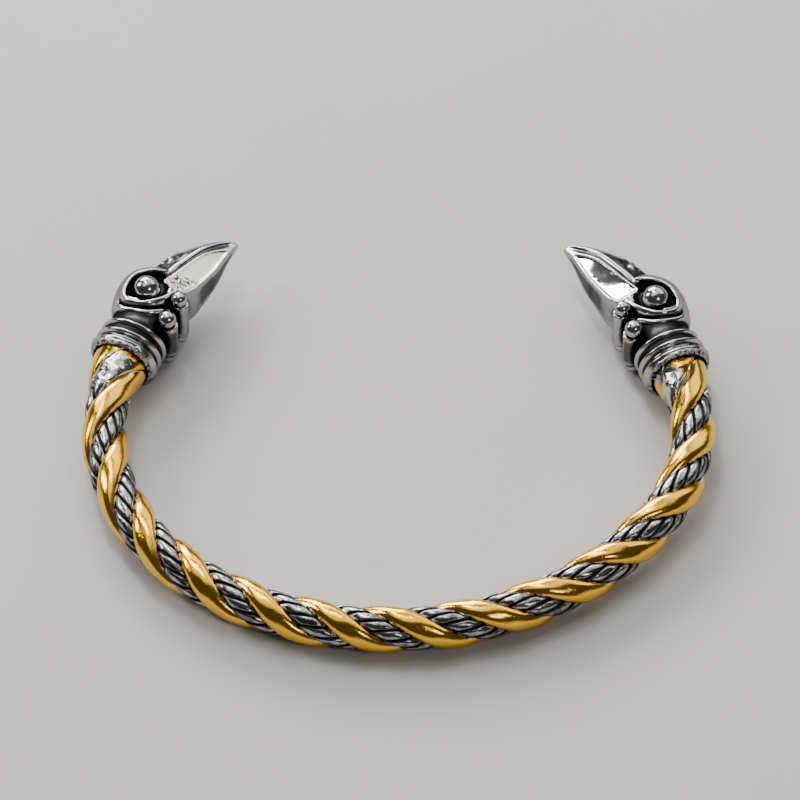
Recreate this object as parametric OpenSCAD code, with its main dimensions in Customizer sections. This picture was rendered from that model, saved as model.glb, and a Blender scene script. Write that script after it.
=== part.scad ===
// Penannular torc worn as a cuff bracelet: four twisted strands between two cast raven heads.
// Millimetres, +Z up, lying on its side. The mouth of the cuff faces +Y.

/* [Bracelet] */
// Radius of the front arc of the centreline
front_r = 36.5; // [34:0.1:40]
// Length of the front arc from its middle to its left end
left_front = 21.5; // [16:0.1:26]
// Radius of the left side
left_r = 27.3; // [25:0.1:32]
// Length of the front arc from its middle to its right end
right_front = 36.3; // [30:0.1:40]
// Radius of the right side
right_r = 22.4; // [20:0.1:28]
// Length of the centreline from the middle of the front to each collar
half_len = 58.6; // [52:0.1:62]

/* [Rope] */
// Radius over the crowns of the gold strands
rope_r = 2.65; // [2.4:0.05:2.7]
// Length in which the rope makes one right-handed turn
rope_pitch = 17; // [14:0.1:24]
// Angle of the first gold strand at the middle of the front, from straight up towards the outside
rope_phase = 144; // [0:1:360]
// Radius of one wire over its four plies
wire_r = 0.9; // [0.7:0.05:0.9]
// Distance of the wires' centres from the rope's centre
wire_seat = 1.5; // [1.5:0.05:1.6]
// Length of rope in which a wire's four plies make one left-handed turn
ply_pitch = 5.2; // [4:0.1:8]
// How much wider the rope gets where it enters the collars
flare = 0.25; // [0:0.01:0.25]
// Length of rope over which it widens
flare_len = 6; // [3:0.5:12]

/* [Heads] */
// Radius of the first collar ring, the widest
collar_r = 4.15; // [4.1:0.05:4.4]
// Angle by which the left head turns inwards from the line of the rope
left_turn = 2; // [-3:0.5:3]
// Angle by which the right head turns inwards from the line of the rope
right_turn = -2; // [-3:0.5:3]
// Radius of the eye bosses
eye_r = 1.35; // [1:0.05:1.6]
// Radius of the bead and throat bar next to the collar
rear_bead_r = 0.98; // [0.8:0.02:1.05]
// Radius of the bead and throat bar next to the beak
fore_bead_r = 0.84; // [0.7:0.02:0.9]

/* [Hidden] */
half_turn = 180;
quarter_turn = 90;
full_turn = 360;

// Sampling of the swept strands
gold_step = 1.1;
wire_rings_per_turn = 11;

// The collar's socket takes the ends of the strands
socket_floor = 0.2;
socket_mouth = -1.3;
socket_gap = 0.15;
end_gap = 0.25;
wire_end_gap = 0.9;
socket_r = rope_r * (1 + flare) + socket_gap;

// Unevenness of the twist: distance along the rope, turn in degrees added to the even twist
TWIST = [
    [-58.6, 45], [-53, 31], [-44, 10], [-35, -6], [-18, -8], [-9, -4], [-1, 2],
    [8, 5], [16, 5], [24, 10], [33, 8], [42, -4], [58.6, -5]
];

// Half of a gold strand's section: angle from the middle of its crown, radius as a share of rope_r
GOLD_HALF = [[0, 1], [22, 0.98], [39, 0.9], [50, 0.745], [45, 0.49], [41, 0.23]];

// A wire's plies, and the depth of the grooves between them as a share of wire_r
plies = 4;
ply_groove = 0.26;

// Collar profile outside the socket: distance along the head, radius as a share of collar_r
COLLAR = [
    [-1.3, 0.89], [-1.15, 0.94], [-0.8, 0.96], [-0.4, 1], [-0.1, 0.94], [0.2, 0.875],
    [0.6, 0.9], [1.0, 0.985], [1.35, 0.9], [1.7, 0.865], [2.05, 0.89],
    [2.4, 0.97], [2.75, 0.88], [3.1, 0.83], [3.6, 0.8], [4.2, 0.78], [5.2, 0.76]
];

collar_end = COLLAR[len(COLLAR) - 1][0];

// Skull and beak: distance along the head, crown side, throat side, half the width, squareness
SKULL_U = 0;
SKULL_OUT = 1;
SKULL_IN = 2;
SKULL_W = 3;
SKULL_N = 4;
SKULL = [
    [4.0, -3.1, 3.0, 3.0, 2.0],
    [4.5, -3.5, 3.1, 3.1, 2.1],
    [5.0, -4.0, 3.2, 3.25, 2.2],
    [6.0, -4.4, 3.3, 3.35, 2.3],
    [7.5, -4.7, 3.35, 3.35, 2.4],
    [9.0, -4.8, 3.4, 3.25, 2.4],
    [10.4, -4.6, 3.5, 3.1, 2.3],
    [11.6, -4.15, 3.75, 2.85, 2.2],
    [12.7, -3.3, 4.1, 2.6, 2.1],
    [13.5, -2.4, 4.35, 2.4, 2.0],
    [14.6, -1.6, 4.6, 2.2, 1.9],
    [16.0, -0.85, 4.75, 1.9, 1.8],
    [17.4, 0.0, 4.8, 1.6, 1.8],
    [18.6, 0.9, 4.8, 1.2, 1.8],
    [19.6, 1.9, 4.8, 0.8, 1.8],
    [20.2, 2.7, 4.85, 0.55, 2.0],
    [20.6, 3.5, 4.85, 0.4, 2.0],
    [20.8, 4.2, 4.8, 0.2, 2.0]
];
skull_sides = 20;

// Eye, brow rim and the marks on the beak, each mirrored to the other side of the head
eye_at = [8.3, -1.0, 2.45];
eye_dish_r = 2.4;
eye_dish_at = [8.4, -0.95, 4.7];
rim_centre = [8.4, -0.95];
rim_r = 2.55;
rim_stretch = 0.32;
rim_point = 12;
rim_sharpness = 5;
rim_rings = 24;
crest_r = 3.8;
crest_from = 125;
crest_to = 215;
crest_rings = 10;
ridge_r = 0.36;
ridge_sides = 5;
rear_bead_at = [4.75, 3.2];
fore_bead_at = [7.9, 3.25];
bead_clearance = 0.05;
bristle_r = 0.5;
BRISTLES = [[14.0, -1.45, 0.75], [15.4, -0.75, 0.7]];

// Rest: the front of the rope and both collars touch the ground, so the collars' middle sets the tilt.
// The shift puts the origin under the middle of the bounding box.
collar_y = 1.3;
tilt = atan((collar_r - rope_r) / (collar_y + front_r));
shift = [-0.95, -26.75, rope_r];

// Repeated sums

function unit(v) = v / norm(v);
function sweep_faces(rings, sides, closed = false) =
    let (bands = closed ? rings : rings - 1)
    let (hoops = [
        for (i = [0 : bands - 1], j = [0 : sides - 1])
            let (a = i * sides, b = ((i + 1) % rings) * sides, k = (j + 1) % sides)
            for (face = [[a + j, b + k, a + k], [a + j, b + j, b + k]]) face
    ])
    let (first = [for (j = [0 : sides - 1]) j])
    let (last = [for (j = [sides - 1 : -1 : 0]) (rings - 1) * sides + j])
    closed ? hoops : concat(hoops, [first, last]);

module sweep(rings, closed = false) {
    sides = len(rings[0]);
    points = [for (ring = rings, p = ring) p];
    polyhedron(points, sweep_faces(len(rings), sides, closed), convexity = 10);
}

// Centreline: s runs from the left collar, round the front, to the right collar

function front_len(s) = s < 0 ? left_front : right_front;
function side_r(s) = s < 0 ? left_r : right_r;
function heading(s) =
    let (on_front = min(abs(s), front_len(s)), on_side = abs(s) - on_front)
    sign(s) * (on_front / front_r + on_side / side_r(s)) * half_turn / PI;
function outward(angle) = [sin(angle), -cos(angle), 0];
function centre(s) =
    let (joint = sign(s) * min(abs(s), front_len(s)) / front_r * half_turn / PI)
    let (on_side = abs(s) > front_len(s))
    let (r = on_side ? side_r(s) : front_r)
    (front_r - r) * outward(joint) + r * outward(heading(s));
function around(s, angle) = cos(angle) * [0, 0, 1] + sin(angle) * outward(heading(s));

// Strands

function smooth(t) = t * t * (3 - 2 * t);
function widening(s) =
    1 + flare * smooth(max(0, min(1, (abs(s) - half_len + flare_len) / flare_len)));
function strand_angle(s) = rope_phase + full_turn * s / rope_pitch + lookup(s, TWIST);
function mirrored(half) = concat(
    [for (p = half) p],
    [for (i = [len(half) - 1 : -1 : 1]) [-half[i][0], half[i][1]]]
);
function wire_centre(s, phase) =
    centre(s) + widening(s) * wire_seat * around(s, strand_angle(s) + phase);

module gold_strand(phase) {
    outline = mirrored(GOLD_HALF);
    half = half_len + socket_floor - end_gap;
    steps = ceil(2 * half / gold_step);
    color("gold") sweep([
        for (i = [0 : steps])
            let (s = -half + 2 * half * i / steps)
            [for (p = outline)
                centre(s) + widening(s) * rope_r * p[1] * around(s, strand_angle(s) + phase + p[0])]
    ]);
}

module wire_strand(phase) {
    half = half_len + socket_floor - wire_end_gap;
    steps = ceil(2 * half / ply_pitch * wire_rings_per_turn);
    step = 2 * half / steps;
    color("darkgray") sweep([
        for (i = [0 : steps])
            let (s = -half + step * i)
            let (ahead = unit(wire_centre(s + step, phase) - wire_centre(s - step, phase)))
            let (across = unit(cross(ahead, around(s, strand_angle(s) + phase))))
            let (out = cross(across, ahead))
            [for (j = [0 : 2 * plies - 1])
                let (angle = full_turn * (s / ply_pitch + j / (2 * plies)))
                let (r = wire_r * (1 - ply_groove * (j % 2)))
                wire_centre(s, phase) + widening(s) * r * (cos(angle) * across + sin(angle) * out)]
    ]);
}

// Heads: X runs from the first collar ring to the beak, Y from the crown to the throat

function skull_at(x, column) = lookup(x, [for (row = SKULL) [row[SKULL_U], row[column]]]);
function skull_height(x, y) =
    let (top = skull_at(x, SKULL_OUT), low = skull_at(x, SKULL_IN), n = skull_at(x, SKULL_N))
    let (off = min(1, abs(2 * y - top - low) / (low - top)))
    skull_at(x, SKULL_W) * pow(1 - pow(off, n), 1 / n);
function squared(t, n) = sign(t) * pow(abs(t), 2 / n);
function rim_plan(angle) =
    let (reach = pow((1 + cos(angle - rim_point)) / 2, rim_sharpness))
    rim_centre + rim_r * (1 + rim_stretch * reach) * [cos(angle), sin(angle)];

module collar() {
    rotate([0, quarter_turn, 0]) rotate_extrude($fn = 64) polygon(concat(
        [[0, collar_end], [0, socket_floor], [socket_r, socket_floor], [socket_r, socket_mouth]],
        [for (p = COLLAR) [p[1] * collar_r, p[0]]]
    ));
}

module skull() {
    sweep([
        for (row = SKULL)
            let (middle = (row[SKULL_OUT] + row[SKULL_IN]) / 2)
            let (half = (row[SKULL_IN] - row[SKULL_OUT]) / 2)
            [for (j = [0 : skull_sides - 1])
                let (angle = full_turn * j / skull_sides)
                [
                    row[SKULL_U],
                    middle + half * squared(cos(angle), row[SKULL_N]),
                    row[SKULL_W] * squared(sin(angle), row[SKULL_N])
                ]]
    ]);
}

// A half-sunk ridge along a line on the skull, going anticlockwise round the eye
module ridge(plan, closed = false) {
    sweep([
        for (p = plan)
            let (away = unit(p - rim_centre), top = [p[0], p[1], skull_height(p[0], p[1])])
            [for (j = [0 : ridge_sides - 1])
                let (turn = full_turn * j / ridge_sides)
                top + ridge_r * [away[0] * cos(turn), away[1] * cos(turn), -sin(turn)]]
    ], closed = closed);
}

module brow_rim() {
    ridge([for (i = [0 : rim_rings - 1]) rim_plan(full_turn * i / rim_rings)], closed = true);
}

module cheek_crest() {
    ridge([
        for (i = [0 : crest_rings])
            let (angle = crest_from + (crest_to - crest_from) * i / crest_rings)
            rim_centre + crest_r * [cos(angle), sin(angle)]
    ]);
}

module throat_bar(at, r) {
    reach = collar_r - bead_clearance - r;
    translate([at[0], at[1], -reach]) cylinder(h = 2 * reach, r = r, $fn = 32);
    for (side = [-1, 1]) translate([at[0], at[1], side * reach]) sphere(r = r, $fn = 32);
}

module both_sides() {
    children();
    mirror([0, 0, 1]) children();
}

module raven_head() {
    color("dimgray") {
        difference() {
            union() {
                collar();
                skull();
                both_sides() brow_rim();
                both_sides() cheek_crest();
            }
            both_sides() translate(eye_dish_at) sphere(r = eye_dish_r, $fn = 48);
        }
        both_sides() translate(eye_at) sphere(r = eye_r, $fn = 32);
        both_sides() for (p = BRISTLES) translate(p) sphere(r = bristle_r, $fn = 24);
        throat_bar(rear_bead_at, rear_bead_r);
        throat_bar(fore_bead_at, fore_bead_r);
    }
}

// Places in the bracelet

module lying() {
    translate(shift) rotate([tilt, 0, 0]) translate([0, front_r, 0]) children();
}

module gold_strand_a() {
    lying() gold_strand(0);
}

module gold_strand_b() {
    lying() gold_strand(half_turn);
}

module wire_strand_a() {
    lying() wire_strand(quarter_turn);
}

module wire_strand_b() {
    lying() wire_strand(quarter_turn + half_turn);
}

module raven_head_left() {
    lying() translate(centre(-half_len)) mirror([1, 0, 0])
        rotate([0, 0, left_turn - heading(-half_len)]) raven_head();
}

module raven_head_right() {
    lying() translate(centre(half_len)) rotate([0, 0, heading(half_len) + right_turn]) raven_head();
}

gold_strand_a();
gold_strand_b();
wire_strand_a();
wire_strand_b();
raven_head_left();
raven_head_right();
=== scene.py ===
"""Torc cuff bracelet with raven-head ends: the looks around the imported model.

Sizes are in millimetres until a mesh is made, and the shared ones repeat the CAD source's names and values.
"""

import math

import bpy
import numpy as np
import openvdb
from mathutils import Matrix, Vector


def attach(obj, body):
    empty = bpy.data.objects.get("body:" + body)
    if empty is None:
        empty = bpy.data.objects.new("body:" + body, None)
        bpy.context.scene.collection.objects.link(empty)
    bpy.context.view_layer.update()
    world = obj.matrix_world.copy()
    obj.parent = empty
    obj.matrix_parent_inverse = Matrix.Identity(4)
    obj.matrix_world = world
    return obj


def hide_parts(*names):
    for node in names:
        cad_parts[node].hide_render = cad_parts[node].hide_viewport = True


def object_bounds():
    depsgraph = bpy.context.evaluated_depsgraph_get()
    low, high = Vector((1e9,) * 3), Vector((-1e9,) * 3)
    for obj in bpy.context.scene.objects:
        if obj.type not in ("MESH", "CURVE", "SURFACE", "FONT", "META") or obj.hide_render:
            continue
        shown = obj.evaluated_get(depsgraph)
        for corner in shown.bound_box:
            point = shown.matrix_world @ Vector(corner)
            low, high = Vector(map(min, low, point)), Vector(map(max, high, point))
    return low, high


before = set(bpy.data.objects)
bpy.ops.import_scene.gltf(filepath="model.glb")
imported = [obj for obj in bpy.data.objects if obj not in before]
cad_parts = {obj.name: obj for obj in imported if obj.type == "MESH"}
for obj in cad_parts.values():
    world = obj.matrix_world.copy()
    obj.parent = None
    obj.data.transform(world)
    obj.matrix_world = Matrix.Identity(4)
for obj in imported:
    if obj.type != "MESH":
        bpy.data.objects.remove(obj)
cad_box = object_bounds()

MM = 0.001
BODY = "root"

# Bracelet
FRONT_R = 36.5
LEFT_FRONT = 21.5
LEFT_R = 27.3
RIGHT_FRONT = 36.3
RIGHT_R = 22.4
HALF_LEN = 58.6

# Rope; TWIST adds degrees to the even twist at distances along the rope
ROPE_R = 2.65
ROPE_PITCH = 17
ROPE_PHASE = 144
WIRE_SEAT = 1.5
PLIES = 4
PLY_PITCH = 5.2
FLARE = 0.25
FLARE_LEN = 6
TWIST = [
    (-58.6, 45), (-53, 31), (-44, 10), (-35, -6), (-18, -8), (-9, -4), (-1, 2),
    (8, 5), (16, 5), (24, 10), (33, 8), (42, -4), (58.6, -5),
]

# Heads
COLLAR_R = 4.15
LEFT_TURN = 2
RIGHT_TURN = -2
SOCKET_FLOOR = 0.2
SOCKET_MOUTH = -1.3
SOCKET_GAP = 0.05
SOCKET_R = ROPE_R * (1 + FLARE) + SOCKET_GAP
END_GAP = 0.25
WIRE_END_GAP = 0.9
EYE_AT = (8.3, -1.0, 2.6)
EYE_R = 1.58
REAR_BEAD_AT = (4.75, 3.2)
REAR_BEAD_R = 1.06
FORE_BEAD_AT = (7.9, 3.25)
FORE_BEAD_R = 0.92
BEAD_CLEARANCE = 0.05
BAR_LEAN = 0.22

# Rest on the ground, as in the CAD source
COLLAR_Y = 1.3
TILT = math.atan((COLLAR_R - ROPE_R) / (COLLAR_Y + FRONT_R))
SHIFT = np.array([-0.95, -26.75, ROPE_R])


# Small sums

def smooth(t):
    t = np.clip(t, 0, 1)
    return t * t * (3 - 2 * t)


def between(x, low, high, rise, fall):
    """From 0 to 1 at the low end of a range, and back to 0 at its high end."""
    return smooth((x - low) / rise) * (1 - smooth((x - high) / fall))


def turn_about(axis, angle):
    """Rotation matrix about X (0) or Z (2)."""
    c, s = math.cos(angle), math.sin(angle)
    if axis == 0:
        return np.array([[1, 0, 0], [0, c, -s], [0, s, c]])
    return np.array([[c, -s, 0], [s, c, 0], [0, 0, 1]])


def curve(x, table, column):
    """A smooth curve through one named column of a table, against the column 'at'."""
    at = np.array([row["at"] for row in table], float)
    value = np.array([row[column] for row in table], float)
    slope = np.gradient(value, at)
    x = np.clip(x, at[0], at[-1])
    i = np.clip(np.searchsorted(at, x, side="right") - 1, 0, len(at) - 2)
    span = at[i + 1] - at[i]
    t = (x - at[i]) / span
    a = (1 + 2 * t) * (1 - t) ** 2
    b = t * t * (3 - 2 * t)
    c = t * (1 - t) ** 2 * span
    d = t * t * (t - 1) * span
    return a * value[i] + b * value[i + 1] + c * slope[i] + d * slope[i + 1]


def rows(names, *values):
    """A table: each row is a dict with the same column names."""
    names = names.split()
    return [dict(zip(names, row)) for row in values]


# Centreline of the rope: s runs from the left collar, round the front, to the right collar

def front_len(s):
    return np.where(s < 0, LEFT_FRONT, RIGHT_FRONT)


def side_r(s):
    return np.where(s < 0, LEFT_R, RIGHT_R)


def heading(s):
    on_front = np.minimum(np.abs(s), front_len(s))
    on_side = np.abs(s) - on_front
    return np.sign(s) * (on_front / FRONT_R + on_side / side_r(s))


def outward(angle):
    return np.stack([np.sin(angle), -np.cos(angle), np.zeros_like(angle)], -1)


def centre(s):
    joint = np.sign(s) * np.minimum(np.abs(s), front_len(s)) / FRONT_R
    r = np.where(np.abs(s) > front_len(s), side_r(s), FRONT_R)[..., None]
    return (FRONT_R - r) * outward(joint) + r * outward(heading(s))


def around(s, angle):
    up = np.array([0.0, 0.0, 1.0])
    return np.cos(angle)[..., None] * up + np.sin(angle)[..., None] * outward(heading(s))


def widening(s):
    return 1 + FLARE * smooth((np.abs(s) - HALF_LEN + FLARE_LEN) / FLARE_LEN)


def strand_angle(s):
    at, extra = np.transpose(TWIST)
    return np.radians(ROPE_PHASE + 360 * s / ROPE_PITCH + np.interp(s, at, extra))


def lying(points):
    """From the bracelet's own plane to its place at rest on the ground."""
    up_front = np.asarray(points) + np.array([0, FRONT_R, 0])
    return up_front @ turn_about(0, TILT).T + SHIFT


# Meshes

def mesh_object(name, points, faces, marks):
    """A smooth object; each mark is a value on every point, which its material reads by name."""
    mesh = bpy.data.meshes.new(name)
    mesh.from_pydata((np.asarray(points) * MM).tolist(), [], faces)
    mesh.validate()
    mesh.shade_smooth()
    for key, values in marks.items():
        layer = mesh.attributes.new(key, "FLOAT", "POINT")
        layer.data.foreach_set("value", np.asarray(values, np.float32).ravel())
    obj = bpy.data.objects.new(name, mesh)
    bpy.context.scene.collection.objects.link(obj)
    return obj


def tube_faces(rings, sides):
    """Quads between rings of points that go anticlockwise as seen from ahead, and the two end caps."""
    faces = []
    for i in range(rings - 1):
        for j in range(sides):
            k = (j + 1) % sides
            a, b = i * sides, (i + 1) * sides
            faces.append((a + j, a + k, b + k, b + j))
    faces.append(list(range(sides - 1, -1, -1)))
    faces.append([(rings - 1) * sides + j for j in range(sides)])
    return faces


# Marks near the collars: corners as distance along the rope and degrees round it from straight up

MARK_SCALE = 0.055
MARK_EDGE = 0.3
FOLD_SPREAD = 0.4
LEFT_SOLDER = [
    (-56.6, -40), (-55.4, -40), (-53.8, -16), (-52.9, 0), (-51.7, 25), (-51.2, 45), (-52.1, 55),
    (-55.1, 41), (-56.5, 24), (-56.9, 8), (-57.0, -15), (-56.9, -32),
]
LEFT_GILT = [
    (-60, -100), (-55.1, -100), (-55.1, -60), (-55.5, -46), (-56.6, -40), (-57.0, -15), (-56.9, 8),
    (-56.5, 24), (-56.3, 60), (-60, 60),
]
RIGHT_BARE = [
    (53.5, -78), (60, -78), (60, -50), (58.8, -50), (57.7, -44), (56.6, -28), (55.9, -15), (55.6, -3),
    (53.5, -3),
]
RIGHT_GILT = [
    (55.6, -3), (55.9, -15), (56.6, -28), (57.7, -44), (58.8, -50), (60, -50), (60, 80), (55.8, 80),
    (55.6, 30),
]
RIGHT_FOLD = [(56.5, 22), (56.3, 34), (54.9, 22), (53.9, 2), (53.1, -17), (53.6, -19), (54.8, 0)]


def mark(s, turn, *areas):
    """How far inside the nearest area a point lies, in millimetres; below zero outside."""
    round_it = np.degrees((turn + np.pi) % (2 * np.pi) - np.pi) * MARK_SCALE
    best = -1.0
    for area in areas:
        corners = [(at, angle * MARK_SCALE) for at, angle in area]
        best = np.maximum(best, -outline_distance(s, round_it, corners))
    return np.clip(best, -1, 1)


def folded(s, turn):
    """From 0 to 1 over the brown fold near the right collar."""
    return smooth(mark(s, turn, RIGHT_FOLD) / MARK_EDGE + FOLD_SPREAD)


def lumps(s, turn):
    """Unevenness of hammered and melted metal, about one tenth of a millimetre."""
    wave = 0.04 * np.sin(2.6 * s + 3 * turn) + 0.025 * np.sin(4.7 * s - 5 * turn + 1)
    return wave + 0.01 * np.sin(9 * s + 8 * turn + 2) * np.sin(5 * turn - 3.3 * s)


# Gold strands

GOLD_STEP = 0.2
CROWN_EDGE = 50
CROWN_DROP = 0.255
END_CROWN_DROP = 0.06
END_CROWN_FROM = 54.5
END_CROWN_LEN = 2
CROWN_POWER = 3.2
GOLD_CROWN_POINTS = 37
GOLD_FLANK = rows(
    "angle radius",
    (50.6, 0.70), (49.8, 0.63), (48, 0.57), (45, 0.49), (41, 0.23),
)
# Painted shade on the gold's low flanks, in the gap beside the wires; less where solder fills it
FLANK_DARK_FROM = 0.74
FLANK_DARK_LEN = 0.06
FLANK_FILLED = 0.75


def near_head(s, start, length):
    """From 0 to 1 over a length of rope that starts at this distance from the middle of the front."""
    return smooth((np.abs(s) - start) / length)


def gold_strand(name, phase):
    half = HALF_LEN + SOCKET_FLOOR - END_GAP
    s = np.linspace(-half, half, int(2 * half / GOLD_STEP) + 1)[:, None]
    crown = np.linspace(-CROWN_EDGE, CROWN_EDGE, GOLD_CROWN_POINTS)
    drop = CROWN_DROP + (END_CROWN_DROP - CROWN_DROP) * near_head(s, END_CROWN_FROM, END_CROWN_LEN)
    crown_radius = 1 - drop * np.abs(crown[None, :] / CROWN_EDGE) ** CROWN_POWER
    flank = np.array([row["angle"] for row in GOLD_FLANK])
    flank_radius = np.array([row["radius"] for row in GOLD_FLANK])
    flank_radius = np.concatenate([flank_radius, flank_radius[::-1]])
    angle = np.concatenate([crown, flank, -flank[::-1]])
    radius = np.concatenate([crown_radius, np.repeat(flank_radius[None, :], len(s), 0)], 1)
    s = np.repeat(s, len(angle), 1)
    turn = strand_angle(s) + np.radians(phase + angle)[None, :]
    bare = mark(s, turn, LEFT_SOLDER, RIGHT_BARE)
    reach = widening(s) * ROPE_R * radius + smooth(bare / MARK_EDGE) * lumps(s, turn)
    points = centre(s) + reach[..., None] * around(s, turn)
    across = np.repeat(np.abs(angle / CROWN_EDGE)[None, :], len(s), 0)
    # Painted shade down the low flanks, joined with the brown fold near the right collar
    groove = smooth((FLANK_DARK_FROM - radius) / FLANK_DARK_LEN)
    groove = groove * (1 - FLANK_FILLED * near_head(s, SOLDER_FROM, SOLDER_LEN))
    shade_and_stain = np.maximum(groove, folded(s, turn))
    faces = tube_faces(*s.shape)
    marks = {"shade_and_stain": shade_and_stain, "across": across, "bare": bare}
    return mesh_object(name, lying(points.reshape(-1, 3)), faces, marks)


# Wires: four plies laid together, filled with solder near the heads

WIRE_STEP = 0.15
WIRE_ACROSS = 1.03
WIRE_OUT = 0.92
WIRE_SQUARE = 2.5
HALF_PLY = 45
PLY_COLUMNS = np.array([-HALF_PLY, -41, -36, -29, -20, -10, 0, 10, 20, 29, 36, 41])
PLY_CROWN = 0.08
GROOVE_DEPTH = 0.2
GROOVE_WIDTH = 9
# Width of the painted shade beside the grooves between plies, in degrees
PLY_SHADE = 14
SOLDER_FROM = 52
SOLDER_LEN = 1.5
SOLDER_HALF_ANGLE = 42
SOLDER_MIDDLE = 1.9
SOLDER_LOW = 1.0
SOLDER_TOP = 0.985
SOLDER_SPREAD = 0.6
SOLDER_FILL = 0.35
# Painted shade on the wires' inner side, towards the rope's core, between these heights
WIRE_SHADE_TOP = 1.8
WIRE_SHADE_LOW = 1.4


def wire_centre(s, phase):
    return centre(s) + (widening(s) * WIRE_SEAT)[..., None] * around(s, strand_angle(s) + phase)


def unit(v):
    return v / np.linalg.norm(v, axis=-1, keepdims=True)


def solder_section(s, phase, cos, sin):
    """Points of the solder that fills the gap between the gold strands, by place in the wire's section."""
    side = np.radians(SOLDER_HALF_ANGLE) * np.sign(cos) * np.abs(cos) ** SOLDER_SPREAD
    turn = strand_angle(s) + phase + side
    wide = widening(s)
    top = wide * ROPE_R * SOLDER_TOP + lumps(s, turn)
    above = wide * SOLDER_MIDDLE + (top - wide * SOLDER_MIDDLE) * np.abs(sin) ** SOLDER_FILL
    below = wide * (SOLDER_MIDDLE - (SOLDER_MIDDLE - SOLDER_LOW) * np.abs(sin))
    reach = np.where(sin > 0, above, below)
    return centre(s) + reach[..., None] * around(s, turn)


def wire_strand(name, phase):
    phase = np.radians(phase)
    half = HALF_LEN + SOCKET_FLOOR - WIRE_END_GAP
    s = np.linspace(-half, half, int(2 * half / WIRE_STEP) + 1)[:, None]
    ply = np.repeat(np.arange(PLIES, 0, -1) * 360 / PLIES, len(PLY_COLUMNS))
    within = np.tile(PLY_COLUMNS[::-1], PLIES)
    to_groove = HALF_PLY - np.abs(within)
    groove = np.exp(-(to_groove / GROOVE_WIDTH) ** 2)
    lobe = 1 - PLY_CROWN * (within / HALF_PLY) ** 2 - GROOVE_DEPTH * groove
    section = 2 * np.pi * s / PLY_PITCH + np.radians(ply + within)[None, :]
    cos, sin = np.cos(section), np.sin(section)
    boxed = (np.abs(cos) ** WIRE_SQUARE + np.abs(sin) ** WIRE_SQUARE) ** (-1 / WIRE_SQUARE)
    ahead = unit(wire_centre(s + WIRE_STEP, phase) - wire_centre(s - WIRE_STEP, phase))
    across = unit(np.cross(ahead, around(s, strand_angle(s) + phase)))
    out = np.cross(across, ahead)
    reach = widening(s) * boxed * lobe[None, :]
    points = wire_centre(s, phase) + (reach * cos * WIRE_ACROSS)[..., None] * across
    points = points + (reach * sin * WIRE_OUT)[..., None] * out
    s = np.repeat(s, len(within), 1)
    melt = near_head(s, SOLDER_FROM, SOLDER_LEN)
    points = points + melt[..., None] * (solder_section(s, phase, cos, sin) - points)
    offset = points - centre(s)
    radial = (offset * outward(heading(s))).sum(-1)
    along = offset[..., 0] * np.cos(heading(s)) + offset[..., 1] * np.sin(heading(s))
    turn = np.arctan2(radial, offset[..., 2])
    height = np.hypot(radial, offset[..., 2]) / widening(s)
    # Painted shade: darker on each wire's inner side, and beside the grooves between plies, which leaves
    # each ply's middle bright; the fold is darkened too
    deep = 1 - smooth((height - WIRE_SHADE_LOW) / (WIRE_SHADE_TOP - WIRE_SHADE_LOW))
    ply_side_shade = np.exp(-(to_groove / PLY_SHADE) ** 2)
    shade_and_stain = np.maximum(deep, ply_side_shade[None, :] * (1 - melt))
    shade_and_stain = np.maximum(shade_and_stain, folded(s + along, turn))
    gilt = mark(s + along, turn, LEFT_GILT, RIGHT_GILT)
    marks = {"shade_and_stain": shade_and_stain, "melt": melt, "gilt": gilt}
    return mesh_object(name, lying(points.reshape(-1, 3)), tube_faces(*s.shape), marks)


# Heads, as a field of distances in the head's frame: u to the beak, v to the throat, w to one side

VOXEL = 0.08
ADAPTIVITY = 0.006
LEAST_STEEPNESS = 0.2
STEP_LIMIT = 0.5
HOLLOW_REACH = 4
HOLLOW_TIMES = 3
GRID_LOW = (-1.6, -5.4, 0.0)
GRID_HIGH = (21.4, 5.6, 4.6)

COLLAR = rows(
    "at radius",
    (-1.35, 0.87), (-1.15, 0.93), (-0.95, 0.955), (-0.8, 0.975), (-0.6, 1), (-0.42, 0.985), (-0.28, 0.93),
    (-0.1, 0.885), (0.15, 0.865), (0.4, 0.885), (0.55, 0.94), (0.72, 0.985), (0.88, 0.97), (1.02, 0.92),
    (1.2, 0.88), (1.45, 0.865), (1.6, 0.872), (1.8, 0.87), (1.98, 0.92), (2.15, 0.965), (2.32, 0.955),
    (2.5, 0.9), (2.75, 0.85), (3.1, 0.82), (3.5, 0.8), (4.2, 0.78), (5.2, 0.76),
)
RING_BOW = 0.4
GRAIN_FROM = -1.0
GRAIN_FADE = 0.25
RAW_DEPTH = 0.1
CAST_TO = 11.4
CAST_FADE = 0.9
CAST_DEPTH = 0.06
RIDGE_FROM = 11.4
LEFT_SHIFT = 0.3
RIGHT_SHIFT = -0.3
SHIFT_FROM = 8
SHIFT_LEN = 10

SKULL = rows(
    "at crown throat width square",
    (3.9, -2.9, 3.0, 2.9, 2.0),
    (4.4, -3.5, 3.1, 3.1, 2.1),
    (5.0, -4.0, 3.2, 3.25, 2.2),
    (6.0, -4.4, 3.3, 3.35, 2.3),
    (7.5, -4.7, 3.35, 3.35, 2.4),
    (9.0, -4.8, 3.4, 3.25, 2.4),
    (10.4, -4.6, 3.4, 3.0, 2.3),
    (11.4, -4.2, 3.3, 2.65, 2.2),
    (12.2, -3.7, 3.0, 2.15, 2.1),
    (12.9, -3.1, 2.5, 1.6, 2.0),
    (13.5, -2.3, 1.6, 0.9, 2.0),
    (13.9, -1.5, 0.6, 0.3, 2.0),
)

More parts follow.
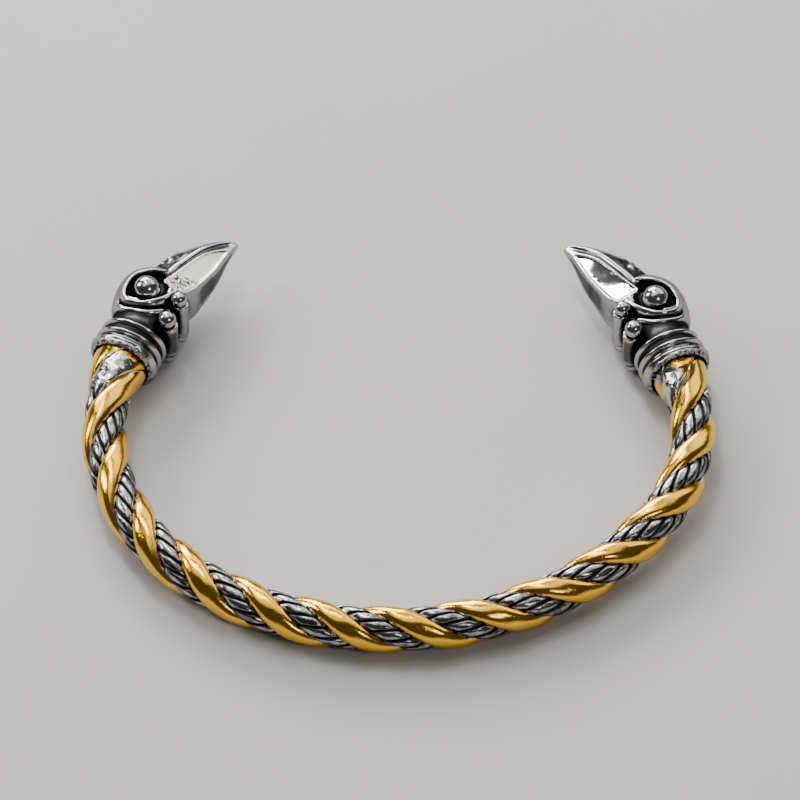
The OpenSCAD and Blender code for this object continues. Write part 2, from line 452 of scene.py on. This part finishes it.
# Beak: top outline, the round ridge beside it, the groove under that, the side facet's rim and low edge
BEAK = rows(
    "at top ridge_v ridge_w ridge_r groove_v rim_v rim_w low_v low_w",
    (9, -2.4, -1.1, 2.52, 0.5, -0.38, 0.1, 3.1, 3.1, 2.75),
    (10.5, -2.4, -0.5, 2.22, 0.5, 0.12, 0.45, 2.8, 3.85, 2.4),
    (12.1, -2.4, 0.1, 1.92, 0.48, 0.57, 1, 2.45, 4.2, 2.05),
    (13.6, -2.1, 0.47, 1.72, 0.46, 0.97, 1.45, 2.2, 4.45, 1.75),
    (15, -1.6, 0.94, 1.52, 0.45, 1.42, 1.85, 1.95, 4.65, 1.5),
    (16.6, -0.7, 1.48, 1.3, 0.43, 1.99, 2.45, 1.65, 4.7, 1.2),
    (18, 0.38, 2.1, 1.05, 0.4, 2.64, 3.3, 1.25, 4.7, 0.85),
    (19, 1.25, 2.71, 0.77, 0.36, 3.37, 4.1, 0.88, 4.75, 0.65),
    (19.8, 2.1, 3.43, 0.53, 0.32, 4.03, 4.45, 0.6, 4.85, 0.48),
    (20.5, 3.2, 4.2, 0.32, 0.26, 4.5, 4.7, 0.4, 4.95, 0.32),
    (20.8, 4.1, 4.6, 0.2, 0.2, 4.7, 4.8, 0.25, 4.95, 0.2),
)
BEAK_TIP = 20.8
FACET = [
    (10.3, 0.35), (12.1, 1.0), (13.6, 1.45), (15.0, 1.85), (16.6, 2.45), (18.0, 3.4), (18.9, 4.5),
    (18.0, 4.55), (16.6, 4.55), (15.0, 4.5), (13.6, 4.3), (12.1, 4.05), (10.5, 3.7), (9.6, 3.2),
    (9.7, 2.0), (9.9, 0.9),
]
FACET_DEPTH = 0.12
FACET_SLOPE = 0.3
GROOVE_SINK = 0.02


def grid_axes():
    return [np.arange(lo, hi + VOXEL / 2, VOXEL) for lo, hi in zip(GRID_LOW, GRID_HIGH)]


def steepness(field):
    g = np.gradient(field, VOXEL)
    return np.sqrt(g[0] ** 2 + g[1] ** 2 + g[2] ** 2)


def as_distance(field):
    return field / np.maximum(steepness(field), LEAST_STEEPNESS)


def union(a, b, k):
    """Smooth union of two distance fields with a fillet of about k."""
    h = np.clip(0.5 + 0.5 * (b - a) / k, 0, 1)
    return b + (a - b) * h - k * h * (1 - h)


def cut(a, b, k):
    """Field a with field b cut out of it."""
    return -union(-a, b, k)


def line_distance(u, v, points):
    """Distance in the side view to a line of points, and how far along it (in points)."""
    best = np.full(np.broadcast(u, v).shape, 1e9)
    where = np.zeros_like(best)
    for i in range(len(points) - 1):
        a, b = np.array(points[i][:2]), np.array(points[i + 1][:2])
        run = b - a
        t = ((u - a[0]) * run[0] + (v - a[1]) * run[1]) / (run @ run)
        t = np.clip(t, 0, 1)
        d = np.hypot(u - a[0] - t * run[0], v - a[1] - t * run[1])
        nearer = d < best
        best = np.where(nearer, d, best)
        where = np.where(nearer, i + t, where)
    return best, where


def outline_distance(x, y, corners):
    """Signed distance in a plane to a polygon; corners may hold arrays, one value a slice."""
    best = None
    inside = None
    count = len(corners)
    for i in range(count):
        ax, ay = corners[i]
        bx, by = corners[(i + 1) % count]
        ex, ey = bx - ax, by - ay
        px, py = x - ax, y - ay
        t = np.clip((px * ex + py * ey) / np.maximum(ex * ex + ey * ey, 1e-9), 0, 1)
        d = (px - t * ex) ** 2 + (py - t * ey) ** 2
        best = d if best is None else np.minimum(best, d)
        crosses = ((ay <= y) & (by > y)) | ((by <= y) & (ay > y))
        safe = np.where(ey == 0, 1e-9, ey)
        crosses = crosses & (x < ax + (y - ay) / safe * ex)
        inside = crosses if inside is None else inside ^ crosses
    return np.sqrt(best) * np.where(inside, -1, 1)


def spline(points, per_span=6):
    """A smooth line through points, as more points."""
    points = np.array(points, float)
    t = np.arange(len(points))
    fine = np.linspace(0, len(points) - 1, (len(points) - 1) * per_span + 1)
    made = []
    for column in range(points.shape[1]):
        table = [{"at": a, "value": b} for a, b in zip(t, points[:, column])]
        made.append(curve(fine, table, "value"))
    return np.stack(made, -1)


# Lines on the side of the head, as u and v; the slot's third value is half its width, and the beak's part
# of the head begins at the rear edge of its side plates
RIM_R = 0.27
CREST_R = 0.3
SOCKET_DEPTH = 1.15
SOCKET_INSET = 0.1
SLOT_DEPTH = 0.6
SLOT_EDGE = 0.3
RIM = [
    (11.9, -0.2), (11.5, -0.9), (11.0, -1.75), (10.2, -2.7), (9.2, -3.25), (8.1, -3.4), (7.0, -3.3),
    (6.1, -2.9), (5.6, -2.2), (5.5, -1.2), (5.9, 0.0), (6.8, 1.0), (7.75, 1.65), (8.7, 2.05), (9.3, 2.3),
]
SOCKET = [
    (11.3, 0.0), (10.9, -1.3), (10.3, -2.2), (9.3, -2.85), (8.1, -3.05), (7.1, -2.9), (6.45, -2.3),
    (6.4, -1.2), (7.1, 0.0), (8.3, 0.55), (9.6, 0.45), (10.5, 0.3),
]
SLOT = [
    (5.4, -3.05, 0.04), (5.0, -2.3, 0.1), (4.95, -1.1, 0.15), (5.3, 0.15, 0.18), (5.9, 1.1, 0.22),
    (6.65, 1.8, 0.28), (7.5, 2.35, 0.35),
]
CREST = [(4.75, -3.1), (4.4, -2.0), (4.4, -0.6), (4.75, 0.7), (5.35, 1.55), (5.95, 2.15)]
BEAK_PART = [
    (11.7, -6.0), (11.7, -0.1), (10.3, 0.05), (9.75, 0.7), (9.5, 1.5), (9.4, 2.3), (9.35, 3.2),
    (9.6, 4.1), (9.8, 6.0), (22.0, 6.0), (22.0, -6.0),
]
BRISTLE_STRETCH = 1.6
BRISTLES = rows(
    "u v w r",
    (13.9, -1.45, 0.75, 0.38), (14.9, -1.05, 0.95, 0.32), (15.8, -0.7, 0.65, 0.3), (14.4, -0.7, 1.3, 0.26),
    (13.4, -1.9, 0.3, 0.36), (15.2, -1.2, 0.2, 0.32),
)

# Wall of the eye's socket: steep above, a wide slope below
WALL_STEEP = 0.35
WALL_SLOPE = 0.9
WALL_SLOPE_FROM = -1.4
WALL_SLOPE_LEN = 1.5

# Fillets between the forms
RIM_FILLET = 0.18
EYE_FILLET = 0.08
BEAK_FILLET = 0.12
BEAK_ROUND = 0.04
RIDGE_FILLET = 0.1
TIP_ROUND = 0.3
BRISTLE_FILLET = 0.3
BEAD_FILLET = 0.05
BAR_FILLET = 0.1
BAR_TOP_ROUND = 0.15
COLLAR_FILLET = 0.1
BORE_ROUND = 0.05

# Beak's cross section
RIDGE_ARC = (0, 25, 50, 72, 90)
LOW_EDGE = 0.08
PAST_MIDDLE = 1

# Throat bars, in bead radii
BAR_R = 0.97
BAR_UNDER_BEAD = 0.7

# Darkening by place, added to the blackening of the hollows; less than zero is brighter, and FAR is no
# limit; the bars' row is painted dark reflection on the throat side
HOLLOW_SCALE = 0.12
FAR = 99
SHADES = rows(
    "name amount u_from u_rise u_to u_fall v_from v_rise v_to v_fall w_to",
    ("neck", 0.3, 2.7, 0.4, 4.3, 0.4, -FAR, 1, FAR, 1, FAR),
    ("beak", -0.22, 11.4, 1, FAR, 1, -FAR, 1, FAR, 1, FAR),
    ("bristles", 0.34, 11.4, 1, 16.2, 0.6, -FAR, 1, -0.1, 0.4, FAR),
    # Painted dark reflection on the throat bars
    ("bars", 0.3, 3.4, 0.2, 9.1, 0.2, 2.2, 0.3, FAR, 1, 1.9),
    ("slope", -0.75, 6.6, 0.5, 10.3, 0.4, -0.5, 0.5, 1.3, 0.3, FAR),
)
W_FALL = 0.3
# Painted dark reflection on the beak's underside, past its low edge
UNDER_SHADE = 0.44
UNDER_FROM = 11.4
UNDER_LEAD = 0.1
UNDER_RISE = 0.2


def pits(u, v, w):
    """Unevenness of a raw casting, from 0 to 1."""
    a = np.sin(9 * u + 3 * np.sin(5 * v + 1))
    b = np.sin(8 * v + 3 * np.sin(6 * w + 2))
    c = np.sin(10 * w + 3 * np.sin(7 * u + 3))
    return 0.5 + (a + b + c) / 6


def ball(u, v, w, at, radius):
    return np.sqrt((u - at[0]) ** 2 + (v - at[1]) ** 2 + (w - at[2]) ** 2) - radius


def skull_field(u, v, w):
    at = {name: curve(u, SKULL, name) for name in SKULL[0]}
    middle = (at["crown"] + at["throat"]) / 2
    off = np.abs(v - middle) / ((at["throat"] - at["crown"]) / 2)
    skull = (off ** at["square"] + (w / at["width"]) ** at["square"]) ** (1 / at["square"]) - 1
    skull = as_distance(skull)
    skull = np.maximum(skull, SKULL[0]["at"] - u)
    return np.maximum(skull, u - SKULL[-1]["at"])


def with_brow(skull, side_u, side_v):
    """The skull with its brow rim, cheek crest, the eye's socket and the slot."""
    near_rim, _ = line_distance(side_u, side_v, spline(RIM))
    rim = np.sqrt(near_rim[:, :, None] ** 2 + skull ** 2) - RIM_R
    near_crest, _ = line_distance(side_u, side_v, spline(CREST))
    crest = np.sqrt(near_crest[:, :, None] ** 2 + skull ** 2) - CREST_R
    hollow = outline_distance(side_u, side_v, spline(SOCKET))
    wall = WALL_STEEP + WALL_SLOPE * smooth((side_v - WALL_SLOPE_FROM) / WALL_SLOPE_LEN)
    depth = SOCKET_DEPTH * (1 - smooth((hollow + SOCKET_INSET) / wall))
    slot = spline(SLOT)
    near, along = line_distance(side_u, side_v, slot)
    slot_half = np.interp(along, np.arange(len(slot)), slot[:, 2])
    slot_depth = SLOT_DEPTH * (1 - smooth((near - slot_half) / SLOT_EDGE + 0.5))
    body = as_distance(skull + np.maximum(depth, slot_depth)[:, :, None])
    body = union(body, rim, RIM_FILLET)
    return union(body, crest, RIM_FILLET)


def beak_field(u, v, w, facet):
    """The beak: a crown, a groove, a side facet that is sunk, and a round ridge along the groove."""
    at = {name: curve(u, BEAK, name) for name in BEAK[0]}
    middle = 0 * at["top"]
    corners = []
    for t in np.radians(RIDGE_ARC):
        back = at["ridge_v"] - (at["ridge_v"] - at["top"]) * math.cos(t)
        corners.append((back, at["ridge_w"] * math.sin(t)))
    corners.append((at["groove_v"], (at["ridge_w"] + at["rim_w"]) / 2 - GROOVE_SINK))
    corners.append((at["rim_v"], at["rim_w"]))
    corners.append((at["low_v"], at["low_w"]))
    corners.append((at["low_v"] + LOW_EDGE, middle))
    corners.append((at["low_v"] + LOW_EDGE, middle - PAST_MIDDLE))
    corners.append((at["top"], middle - PAST_MIDDLE))
    beak = as_distance(outline_distance(v, w, corners) - BEAK_ROUND)
    beak = beak + (FACET_DEPTH * smooth(-facet / FACET_SLOPE))[:, :, None]
    part = outline_distance(u[:, :, 0], v[:, :, 0], BEAK_PART)[:, :, None]
    beak = cut(beak, -part, BEAK_FILLET)
    ridge = np.hypot(v - at["ridge_v"], w - at["ridge_w"]) - at["ridge_r"]
    ridge = np.maximum(ridge, RIDGE_FROM - u)
    beak = union(beak, ridge, RIDGE_FILLET)
    return cut(beak, BEAK_TIP - u, TIP_ROUND)


def with_bars(body, u, v, w):
    """The throat bars and their beads."""
    for at_uv, r in ((REAR_BEAD_AT, REAR_BEAD_R), (FORE_BEAD_AT, FORE_BEAD_R)):
        reach = COLLAR_R - BEAD_CLEARANCE - r
        bar = np.hypot(u - at_uv[0], v - at_uv[1] - BAR_LEAN) - BAR_R * r
        bar = cut(bar, reach - BAR_UNDER_BEAD * r - w, BAR_TOP_ROUND)
        body = union(body, bar, BAR_FILLET)
        body = union(body, ball(u, v, w, (*at_uv, reach), r), BEAD_FILLET)
    return body


def with_collar(body, u, v, w):
    """The ringed collar, with the socket that the rope goes into."""
    rho = np.hypot(v, w)
    bowed = u - RING_BOW * (v / COLLAR_R) ** 2
    collar = as_distance(rho - curve(bowed, COLLAR, "radius") * COLLAR_R)
    collar = np.maximum(collar, SOCKET_MOUTH - u)
    collar = np.maximum(collar, u - COLLAR[-1]["at"])
    body = union(body, collar, COLLAR_FILLET)
    bore = np.maximum(rho - SOCKET_R, u - SOCKET_FLOOR)
    return cut(body, bore, BORE_ROUND)


def head_field(satin):
    """The casting's distance field over half the grid (w from 0 up)."""
    u, v, w = np.ix_(*grid_axes())
    side_u, side_v = u[:, :, 0], v[:, :, 0]
    facet = outline_distance(side_u, side_v, spline(FACET))
    body = with_brow(skull_field(u, v, w), side_u, side_v)
    body = union(body, ball(u, v, w, EYE_AT, EYE_R), EYE_FILLET)
    body = union(body, beak_field(u, v, w, facet), BEAK_FILLET)
    for row in BRISTLES:
        ahead = (u - row["u"]) / BRISTLE_STRETCH
        body = union(body, ball(ahead, v, w, (0, row["v"], row["w"]), row["r"]), BRISTLE_FILLET)
    body = with_bars(body, u, v, w)
    body = with_collar(body, u, v, w)

    # Raw casting: the collar's ragged mouth, and the root of the left facet
    raw = RAW_DEPTH * (1 - smooth((u - GRAIN_FROM) / GRAIN_FADE))
    root = 1 - smooth((side_u - CAST_TO) / CAST_FADE)
    cast = CAST_DEPTH * satin * smooth(-facet / FACET_SLOPE) * root
    return body + (raw + cast[:, :, None]) * pits(u, v, w)


def blurred(field, reach, times):
    """Box blur, repeated."""
    for _ in range(times):
        for axis in range(3):
            pad = [(0, 0)] * 3
            pad[axis] = (reach + 1, reach)
            total = np.cumsum(np.pad(field, pad, mode="edge"), axis=axis)
            hi = np.take(total, range(2 * reach + 1, total.shape[axis]), axis=axis)
            lo = np.take(total, range(0, total.shape[axis] - 2 * reach - 1), axis=axis)
            field = (hi - lo) / (2 * reach + 1)
    return field


def sampled(field, index):
    """Trilinear samples of a field at points given in voxels."""
    index = np.clip(index, 0, np.array(field.shape) - 1.001)
    i = index.astype(int)
    t = index - i
    total = 0
    for a in (0, 1):
        for b in (0, 1):
            for c in (0, 1):
                share = np.where(a, t[:, 0], 1 - t[:, 0])
                share = share * np.where(b, t[:, 1], 1 - t[:, 1])
                share = share * np.where(c, t[:, 2], 1 - t[:, 2])
                total = total + share * field[i[:, 0] + a, i[:, 1] + b, i[:, 2] + c]
    return total


def head_mesh(satin):
    """Points in the head's frame, triangles, quads, and how hollow the form is at each point."""
    half = head_field(satin)
    whole = blurred(np.concatenate([half[:, :, :0:-1], half], 2), 1, 1)
    low = np.array([GRID_LOW[0], GRID_LOW[1], -(half.shape[2] - 1) * VOXEL])
    grid = openvdb.FloatGrid()
    grid.background = 1.0
    grid.copyFromArray(whole.astype(np.float32))
    points, triangles, quads = grid.convertToPolygons(isovalue=0.0, adaptivity=ADAPTIVITY)
    slopes = np.gradient(whole)
    for _ in range(2):
        away = np.stack([sampled(g, points) for g in slopes], -1)
        off = sampled(whole, points)
        length = np.maximum((away ** 2).sum(1), 1e-9)
        points = points - np.clip(off / length, -STEP_LIMIT, STEP_LIMIT)[:, None] * away
    hollow = sampled(blurred(whole, HOLLOW_REACH, HOLLOW_TIMES), points)
    return low + points * VOXEL, triangles, quads, hollow


def shading(points):
    """Darkening by place, from the table and under the beak's low edge; the bars' row and the part under
    the beak are painted dark reflection.
    """
    u, v, w = points.T
    under = smooth((v - curve(u, BEAK, "low_v") + UNDER_LEAD) / UNDER_RISE)
    shade = UNDER_SHADE * smooth(u - UNDER_FROM) * under
    for row in SHADES:
        on = between(u, row["u_from"], row["u_to"], row["u_rise"], row["u_fall"])
        on = on * between(v, row["v_from"], row["v_to"], row["v_rise"], row["v_fall"])
        on = on * (1 - smooth((np.abs(w) - row["w_to"]) / W_FALL))
        shade = shade + row["amount"] * on
    return shade


def head(name, place, shift, satin):
    """A head; shift moves its rear along the rope, and satin is 1 for a dull facet, 0 for a mirror."""
    points, triangles, quads, hollow = head_mesh(satin)

    # The faces are turned to look outward, also after the left head's mirroring
    a, b, c, d = [points[quads[:, i]] for i in range(4)]
    volume = (a * (np.cross(b, c) + np.cross(c, d))).sum()
    det = np.linalg.det(place(np.eye(3)) - place(np.zeros((3, 3))))
    if volume * det < 0:
        quads = quads[:, ::-1]
        triangles = triangles[:, ::-1]

    u, v = points[:, 0], points[:, 1]
    facet = smooth(-outline_distance(u, v, spline(FACET)) / FACET_SLOPE)
    cast = facet * satin * (1 - smooth((u - CAST_TO) / CAST_FADE))
    # The first mark is black oxide in the hollows, with the painted dark reflection and other darkening
    # from shading()
    marks = {
        "shade_and_stain": np.clip(0.5 - hollow / HOLLOW_SCALE + shading(points), 0, 1),
        "grain": 1 - smooth((u - GRAIN_FROM) / GRAIN_FADE),
        "facet": facet,
        "satin": facet * satin,
        "cast": cast,
    }
    moved = points.copy()
    moved[:, 0] += shift * (1 - smooth((u - SHIFT_FROM) / SHIFT_LEN))
    return mesh_object(name, lying(place(moved)), triangles.tolist() + quads.tolist(), marks)


def right_place(points):
    spin = turn_about(2, float(heading(np.array(HALF_LEN))) + math.radians(RIGHT_TURN))
    return points @ spin.T + centre(np.array(HALF_LEN))


def left_place(points):
    spin = turn_about(2, math.radians(LEFT_TURN) - float(heading(np.array(-HALF_LEN))))
    return (points @ spin.T) * np.array([-1, 1, 1]) + centre(np.array(-HALF_LEN))


# Materials

class Net:
    """Short names for making and linking shader nodes."""

    def __init__(self, name):
        self.material = bpy.data.materials.new(name)
        self.material.use_nodes = True
        self.tree = self.material.node_tree
        self.tree.nodes.clear()
        self.skin = self.add("ShaderNodeBsdfPrincipled")
        self.skin.inputs["Specular Tint"].default_value = (*EDGE_TINT, 1)
        out = self.add("ShaderNodeOutputMaterial")
        self.link(self.skin.outputs[0], out.inputs["Surface"])

    def add(self, kind, **settings):
        node = self.tree.nodes.new(kind)
        for key, value in settings.items():
            setattr(node, key, value)
        return node

    def link(self, source, target):
        self.tree.links.new(source, target)

    def attribute(self, name):
        return self.add("ShaderNodeAttribute", attribute_name=name).outputs["Fac"]

    def noise(self, scale, detail=3, roughness=0.5):
        place = self.add("ShaderNodeTexCoord").outputs["Object"]
        node = self.add("ShaderNodeTexNoise")
        node.inputs["Scale"].default_value = scale
        node.inputs["Detail"].default_value = detail
        node.inputs["Roughness"].default_value = roughness
        self.link(place, node.inputs["Vector"])
        return node.outputs["Fac"]

    def remap(self, source, low, high, to_low=0.0, to_high=1.0):
        node = self.add("ShaderNodeMapRange")
        node.inputs["From Min"].default_value = low
        node.inputs["From Max"].default_value = high
        node.inputs["To Min"].default_value = to_low
        node.inputs["To Max"].default_value = to_high
        self.link(source, node.inputs["Value"])
        return node.outputs["Result"]

    def uneven(self, scale, detail, amount):
        """Noise round zero."""
        return self.remap(self.noise(scale, detail, 0.6), 0.3, 0.7, -amount, amount)

    def marked(self, name):
        """Where a mark lies, with a ragged edge."""
        ragged = self.math("ADD", self.attribute(name), self.uneven(900, 4, 0.22))
        return self.remap(ragged, -0.04, 0.04)

    def melted_steel(self):
        spots = self.remap(self.noise(520, 2), 0.42, 0.62)
        return self.mix(spots, BRIGHT_STEEL, DULL_STEEL)

    def lumpy(self, share, under):
        """The unevenness of melted metal."""
        return self.bump(self.math("MULTIPLY", self.noise(700, 2, 0.4), share), 0.0002, under=under)

    def math(self, kind, a, b):
        node = self.add("ShaderNodeMath", operation=kind)
        for socket, value in zip(node.inputs, (a, b)):
            if isinstance(value, (int, float)):
                socket.default_value = value
            else:
                self.link(value, socket)
        return node.outputs[0]

    def mix(self, share, a, b):
        """Two colours mixed; the node's sockets 6, 7 and out 2 are those for colours."""
        node = self.add("ShaderNodeMix", data_type="RGBA")
        self.link(share, node.inputs[0])
        for socket, value in ((node.inputs[6], a), (node.inputs[7], b)):
            if isinstance(value, tuple):
                socket.default_value = (*value, 1)
            else:
                self.link(value, socket)
        return node.outputs[2]

    def bump(self, height, distance, under=None):
        node = self.add("ShaderNodeBump")
        node.inputs["Distance"].default_value = distance
        self.link(height, node.inputs["Height"])
        if under is not None:
            self.link(under, node.inputs["Normal"])
        return node.outputs["Normal"]


EDGE_TINT = (0.5, 0.5, 0.5)
GOLD = (0.95, 0.53, 0.045)
WORN_GOLD = (0.91, 0.46, 0.035)
PALE_GOLD = (0.80, 0.56, 0.38)
# Painted shade on the wires' gilding
SHADED_GOLD = (0.12, 0.05, 0.02)
# Painted shade on the gold's low flanks, and the brown fold near the right collar
FOLD_AND_SHADE_BROWN = (0.07, 0.03, 0.008)
BRIGHT_STEEL = (0.70, 0.68, 0.65)
DULL_STEEL = (0.40, 0.39, 0.375)
HEAD_STEEL = (0.45, 0.442, 0.43)
CREAM_STEEL = (0.62, 0.57, 0.47)
WIRE_STEEL = (0.45, 0.44, 0.43)
SOOTY_STEEL = (0.16, 0.158, 0.158)
GUNMETAL = (0.12, 0.119, 0.12)
# Black oxide in the heads' hollows, and painted shade on the wires and on the heads' throat side
BLACKENED_AND_SHADED = (0.02, 0.019, 0.02)
FLOOR_DARK = (0.54, 0.525, 0.50)
FLOOR_LIGHT = (0.58, 0.565, 0.54)


def gold_material():
    net = Net("gold_plate")
    grain = net.noise(2400, 4, 0.65)
    worn = net.remap(net.noise(420, 4, 0.6), 0.45, 0.75)
    colour = net.mix(worn, GOLD, WORN_GOLD)
    edge = net.math("ADD", net.attribute("across"), net.remap(grain, 0.3, 0.7, -0.05, 0.05))
    colour = net.mix(net.remap(edge, 0.88, 0.95), colour, PALE_GOLD)
    bare = net.marked("bare")
    colour = net.mix(bare, colour, net.melted_steel())
    # Painted shade on the low flanks, and the brown fold
    colour = net.mix(net.remap(net.attribute("shade_and_stain"), 0.2, 0.9), colour, FOLD_AND_SHADE_BROWN)
    net.link(colour, net.skin.inputs["Base Color"])
    net.skin.inputs["Metallic"].default_value = 1
    net.skin.inputs["Specular Tint"].default_value = (1, 1, 1, 1)
    smoothness = net.remap(net.noise(1300, 4, 0.6), 0.3, 0.8, 0.1, 0.2)
    roughness = net.math("ADD", smoothness, net.remap(bare, 0, 1, 0, 0.12))
    net.link(roughness, net.skin.inputs["Roughness"])
    slow = net.bump(net.noise(260, 2, 0.4), 0.0002)
    fine = net.bump(net.noise(5200, 3, 0.6), 0.00002, under=slow)
    net.link(net.lumpy(bare, fine), net.skin.inputs["Normal"])
    return net.material


def wire_material():
    net = Net("wire_steel")
    melt = net.attribute("melt")
    # Painted shade in the wires' grooves and on their inner side, over the steel and the gilding; the fold
    # is darkened too
    dark = net.remap(net.math("ADD", net.attribute("shade_and_stain"), net.uneven(1100, 4, 0.15)), 0.1, 0.5)
    steel = net.mix(net.remap(net.noise(800, 4, 0.6), 0.42, 0.6), WIRE_STEEL, SOOTY_STEEL)
    steel = net.mix(melt, steel, net.melted_steel())
    colour = net.mix(dark, steel, BLACKENED_AND_SHADED)
    gilding = net.mix(net.remap(dark, 0, 1, 0, 0.8), WORN_GOLD, SHADED_GOLD)
    colour = net.mix(net.marked("gilt"), colour, gilding)
    net.link(colour, net.skin.inputs["Base Color"])
    net.skin.inputs["Metallic"].default_value = 1
    net.link(net.remap(dark, 0, 1, 0.13, 0.5), net.skin.inputs["Roughness"])
    fine = net.bump(net.noise(2600, 4, 0.6), 0.00004)
    net.link(net.lumpy(melt, fine), net.skin.inputs["Normal"])
    return net.material


def head_material():
    net = Net("head_steel")
    facet = net.attribute("facet")
    satin = net.attribute("satin")
    # Black oxide in the hollows, with painted dark reflection on the throat bars and under the beak
    patina_and_shade = net.math("ADD", net.attribute("shade_and_stain"), net.uneven(700, 4, 0.06))
    polished_and_unshaded = net.remap(patina_and_shade, 0.42, 0.18)
    colour = net.mix(polished_and_unshaded, GUNMETAL, HEAD_STEEL)
    colour = net.mix(facet, colour, net.mix(satin, BRIGHT_STEEL, CREAM_STEEL))
    pitted = net.math("MAXIMUM", net.attribute("grain"), net.attribute("cast"))
    pit_dark = net.math("MULTIPLY", net.remap(net.noise(2300, 3, 0.6), 0.48, 0.6), pitted)
    dark = net.math("MAXIMUM", net.remap(patina_and_shade, 0.57, 0.85), pit_dark)
    colour = net.mix(dark, colour, BLACKENED_AND_SHADED)
    net.link(colour, net.skin.inputs["Base Color"])
    net.skin.inputs["Metallic"].default_value = 1
    rough = net.math("ADD", net.remap(facet, 0, 1, 0.17, 0.06), net.remap(dark, 0, 1, 0, 0.28))
    rough = net.math("MAXIMUM", rough, net.remap(satin, 0, 1, 0.05, 0.34))
    net.link(rough, net.skin.inputs["Roughness"])
    unpolished = net.math("MULTIPLY", net.noise(2400, 3, 0.5), net.remap(facet, 0, 1, 1, 0.15))
    fine = net.bump(unpolished, 0.000012)
    grain = net.math("MULTIPLY", net.noise(2300, 3, 0.6), pitted)
    net.link(net.bump(grain, 0.0003, under=fine), net.skin.inputs["Normal"])
    return net.material


def floor_material():
    net = Net("studio_floor")
    net.link(net.mix(net.noise(40), FLOOR_DARK, FLOOR_LIGHT), net.skin.inputs["Base Color"])
    net.skin.inputs["Roughness"].default_value = 0.75
    return net.material


# Pieces

def dress(obj, material, node):
    obj.data.materials.append(material)
    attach(obj, BODY)
    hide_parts(node)


gold = gold_material()
wire = wire_material()
steel = head_material()

dress(gold_strand("gold_strand_a_plated", 0), gold, "gold_strand_a")
dress(gold_strand("gold_strand_b_plated", 180), gold, "gold_strand_b")
dress(wire_strand("wire_strand_a_twisted", 90), wire, "wire_strand_a")
dress(wire_strand("wire_strand_b_twisted", 270), wire, "wire_strand_b")

left_head = head("raven_head_left_cast", left_place, LEFT_SHIFT, 1.0)
right_head = head("raven_head_right_cast", right_place, RIGHT_SHIFT, 0.0)
dress(left_head, steel, "raven_head_left")
dress(right_head, steel, "raven_head_right")


# Floor

FLOOR_HALF = 0.6
FLOOR_GAP = 0.00002
FLOOR_CORNERS = [(-1, -1), (1, -1), (1, 1), (-1, 1)]
floor_mesh = bpy.data.meshes.new("studio_floor")
floor_mesh.from_pydata([(x * FLOOR_HALF, y * FLOOR_HALF, 0) for x, y in FLOOR_CORNERS], [], [(0, 1, 2, 3)])
floor = bpy.data.objects.new("studio_floor", floor_mesh)
floor.location.z = cad_box[0].z - FLOOR_GAP
floor.data.materials.append(floor_material())
bpy.context.scene.collection.objects.link(floor)


# Camera at the photograph's angle

CAMERA_UP = 48.53
CAMERA_DISTANCE = 0.98924
CAMERA_LENS = 389.7
CAMERA_TARGET = Vector((0.00007, 0.00965, 0.0))

camera_data = bpy.data.cameras.new("camera")
camera_data.lens = CAMERA_LENS
camera_data.sensor_width = 36
camera_data.clip_start = 0.01
camera_data.clip_end = 10
camera = bpy.data.objects.new("camera", camera_data)
up = math.radians(CAMERA_UP)
camera.location = CAMERA_TARGET + CAMERA_DISTANCE * Vector((0, -math.cos(up), math.sin(up)))
camera.rotation_euler = (math.radians(90 - CAMERA_UP), 0, 0)
bpy.context.scene.collection.objects.link(camera)
bpy.context.scene.camera = camera


# Lights, all turned to the origin: place and size in metres, power in watts

LIGHTS = rows(
    "name x y z power width height",
    ("left", -0.204, 0.628, 0.351, 6.8, 0.48, 0.27),
    ("far_left", -0.62, 0.226, 0.38, 2.7, 0.185, 0.27),
    ("right", 0.38, 0.53, 0.5, 2.7, 0.75, 0.55),
    ("above", -0.05, 0.12, 0.85, 1.9, 0.9, 0.5),
    ("strip", -0.14, 0.34, 0.70, 2.2, 0.1, 0.38),
    ("front", 0.3, -0.42, 0.5, 0.7, 0.14, 0.14),
)

for row in LIGHTS:
    light = bpy.data.lights.new(row["name"], "AREA")
    light.shape = "RECTANGLE"
    light.size = row["width"]
    light.size_y = row["height"]
    light.energy = row["power"]
    lamp = bpy.data.objects.new(row["name"], light)
    lamp.location = (row["x"], row["y"], row["z"])
    lamp.rotation_euler = (-lamp.location).to_track_quat("-Z", "Y").to_euler()
    bpy.context.scene.collection.objects.link(lamp)

SKY = (0.75, 0.78, 0.82)
SKY_STRENGTH = 0.09
world = bpy.data.worlds.new("studio")
world.use_nodes = True
background = world.node_tree.nodes["Background"]
background.inputs["Color"].default_value = (*SKY, 1)
background.inputs["Strength"].default_value = SKY_STRENGTH
bpy.context.scene.world = world
